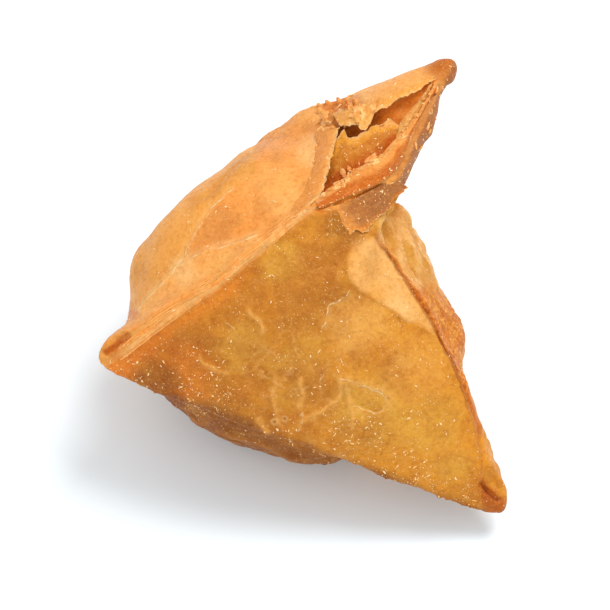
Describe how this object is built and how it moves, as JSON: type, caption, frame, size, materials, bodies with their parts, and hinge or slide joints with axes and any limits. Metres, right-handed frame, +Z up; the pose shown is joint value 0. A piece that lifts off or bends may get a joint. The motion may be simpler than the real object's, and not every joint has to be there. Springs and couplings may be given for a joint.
{
  "type": "samosa",
  "caption": "Deep-fried samosa: a folded pastry case with horns round a triangular front panel, a round filled belly behind it and a burst seam near the top horn.",
  "frame": {"origin": "on the ground, under the middle of the samosa's bounding box, within the flat spot it rests on", "axes": "+Z up from the resting spot, -Y towards the front panel's foot, +X towards the lower right horn as seen from the front"},
  "size_m": [0.0904, 0.0835, 0.0662],
  "materials": {
    "crust": null
  },
  "bodies": {
    "root": {"samosa": "crust"}
  },
  "joints": []
}
